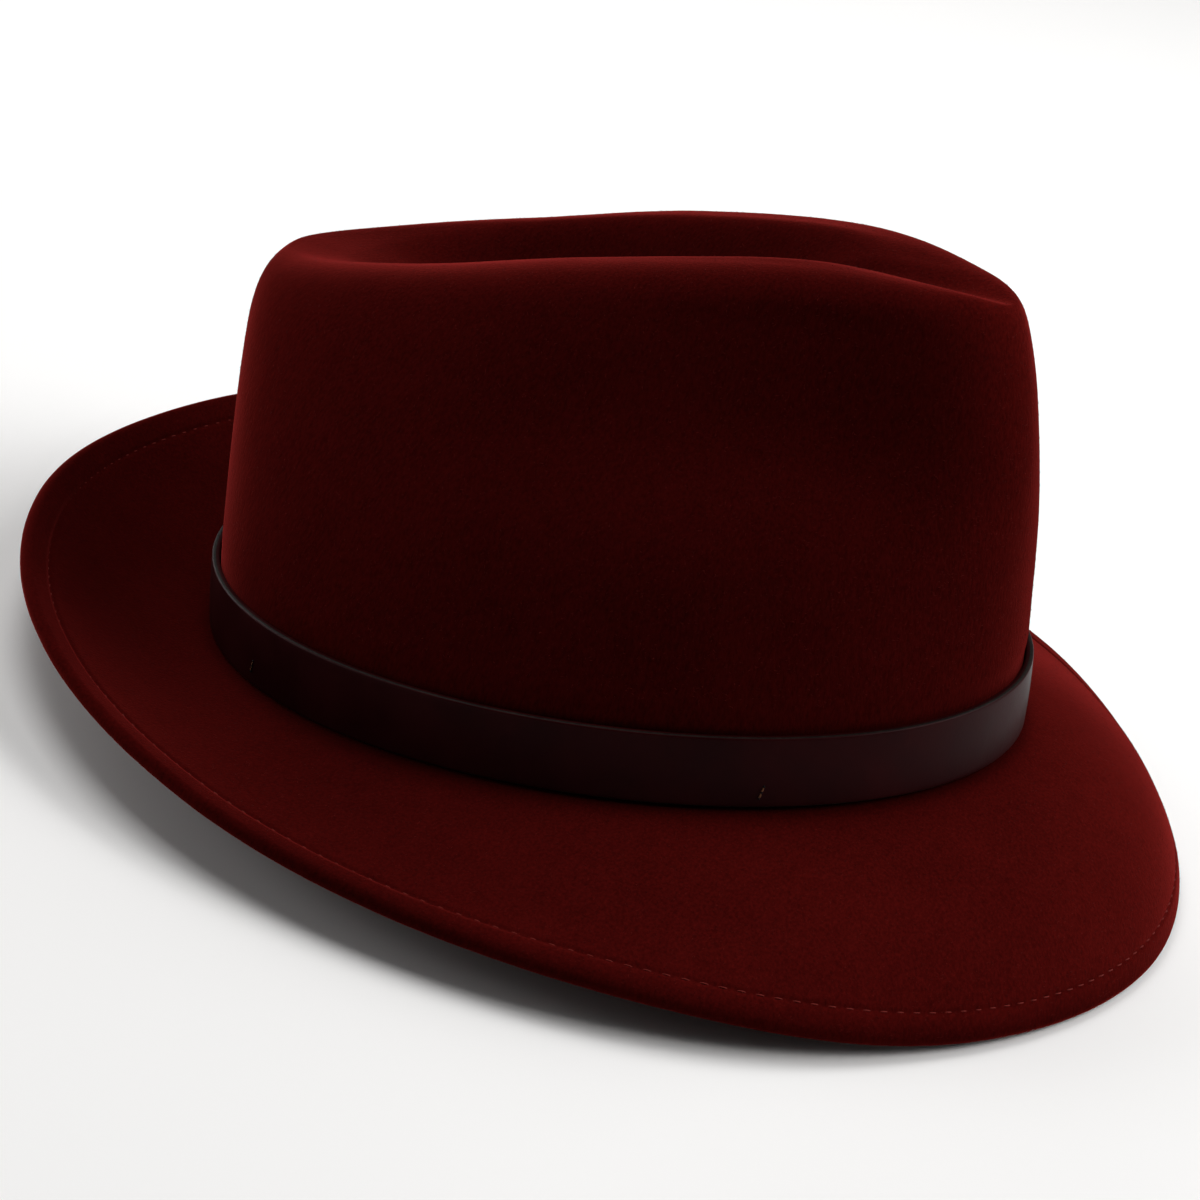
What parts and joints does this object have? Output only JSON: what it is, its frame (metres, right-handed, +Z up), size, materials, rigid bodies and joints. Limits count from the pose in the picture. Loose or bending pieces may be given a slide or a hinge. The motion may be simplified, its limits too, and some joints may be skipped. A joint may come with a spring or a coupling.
{
  "type": "fedora hat",
  "caption": "Felt fedora with a teardrop crown pinched at the front, a snapped-down front brim, a turned-up back and a plain leather band.",
  "frame": {"origin": "centre of the bounding box's bottom face, on the surface that the hat stands on", "axes": "+Z up; -Y is the hat's front, its nose and snapped-down brim; +X is the wearer's left; the plane X = 0 is the mirror plane"},
  "size_m": [0.2828, 0.3052, 0.1419],
  "materials": {
    "burgundy_felt": "short-napped burgundy fur felt",
    "dark_leather": "smooth black-cherry leather with a low sheen"
  },
  "bodies": {
    "root": {"felt_body": "burgundy_felt", "hat_band": "dark_leather"}
  },
  "joints": []
}
